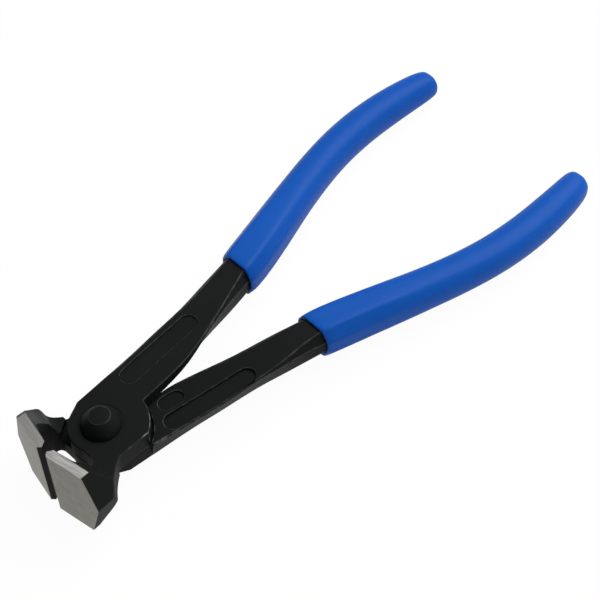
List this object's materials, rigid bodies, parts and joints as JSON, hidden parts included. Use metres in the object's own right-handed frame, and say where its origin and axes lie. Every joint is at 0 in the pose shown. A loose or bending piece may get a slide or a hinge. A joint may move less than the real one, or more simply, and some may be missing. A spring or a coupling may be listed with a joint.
{
  "type": "end cutting nippers",
  "caption": "End cutting nippers: black lap-jointed forgings on a domed rivet, with ground blades across the front and long bowed handles in dipped blue grips.",
  "frame": {"origin": "on the pivot axis, midway between the two eyes", "axes": "+Y along the tool from the blades to the grip tips, +Z along the pivot axis, up when the tool lies flat with the upper half on top, +X across the handles"},
  "size_m": [0.0818, 0.1906, 0.0272],
  "materials": {
    "forging": "black oxide, satin, with bare ground blades",
    "rivet": "black oxide, satin",
    "grip": "dipped soft plastic, semi-gloss"
  },
  "bodies": {
    "upper": {"upper_half": "forging", "rivet": "rivet", "upper_grip": "grip"},
    "lower": {"lower_half": "forging", "lower_grip": "grip"}
  },
  "joints": [
    {"name": "pivot", "type": "hinge", "parent": "upper", "child": "lower", "pos_m": [0, 0, 0], "axis": [0, 0, -1], "range_deg": [-5.4, 34]}
  ]
}
